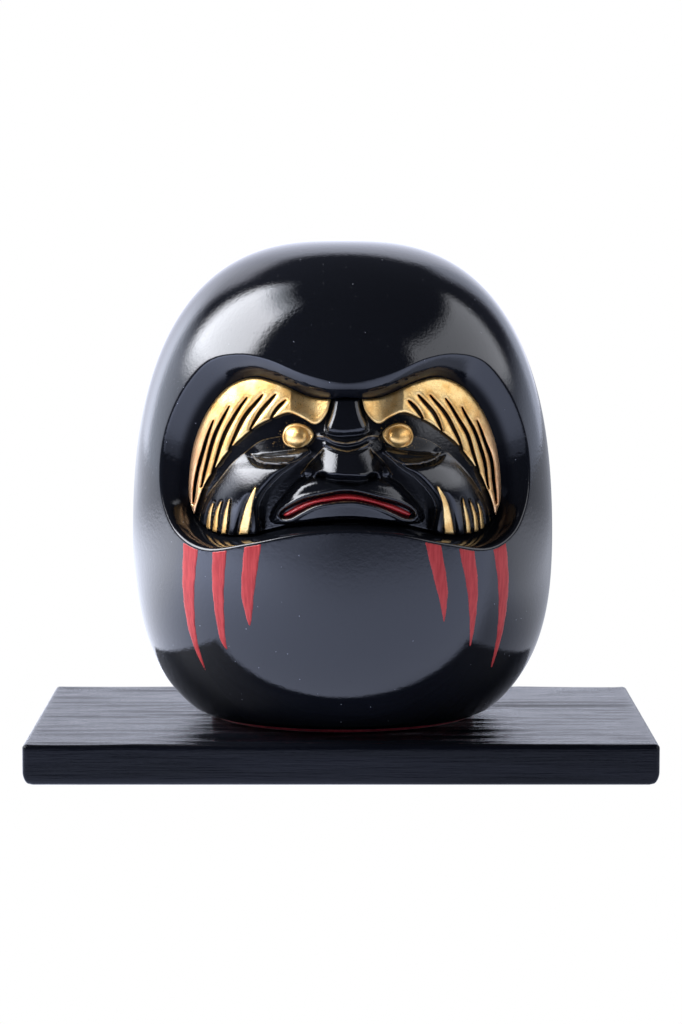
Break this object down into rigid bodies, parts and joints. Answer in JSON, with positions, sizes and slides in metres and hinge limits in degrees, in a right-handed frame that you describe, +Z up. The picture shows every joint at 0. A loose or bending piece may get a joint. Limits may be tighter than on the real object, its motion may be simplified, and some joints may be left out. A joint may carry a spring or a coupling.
{
  "type": "daruma doll",
  "caption": "Black glazed daruma doll with a recessed carved face, gilded brows and red strokes, standing loose on a low black-stained display board.",
  "frame": {"origin": "centre of the display board's underside", "axes": "+Z up, -Y out of the doll's face, +X to the right of someone facing the doll; the board's long side is along X"},
  "size_m": [0.1536, 0.1064, 0.1302],
  "materials": {
    "black_glaze": "glossy black glaze with a fine orange-peel surface and pinholes",
    "satin_gold": "satin gold over the carved relief",
    "lip_red": "semi-gloss deep red",
    "stroke_red": "brushed-on semi-gloss red",
    "red_felt": "felt",
    "stained_wood": "black stain over an open grain, thin worn varnish"
  },
  "bodies": {
    "board": {"display_board": "stained_wood"},
    "doll": {"body_shell": "black_glaze", "foot_pad": "red_felt", "face_insert": "black_glaze", "left_brow": "satin_gold", "left_eye": "satin_gold", "left_whisker_1": "satin_gold", "left_whisker_2": "satin_gold", "left_whisker_3": "satin_gold", "left_whisker_4": "satin_gold", "right_brow": "satin_gold", "right_eye": "satin_gold", "right_whisker_1": "satin_gold", "right_whisker_2": "satin_gold", "right_whisker_3": "satin_gold", "right_whisker_4": "satin_gold", "lips": "lip_red", "left_outer_stroke": "stroke_red", "left_middle_stroke": "stroke_red", "left_inner_stroke": "stroke_red", "right_inner_stroke": "stroke_red", "right_middle_stroke": "stroke_red", "right_outer_stroke": "stroke_red"}
  },
  "joints": [
    {"name": "doll_lift", "type": "slide", "parent": "board", "child": "doll", "axis": [0, 0, 1], "range_m": [0, 0.05]}
  ]
}
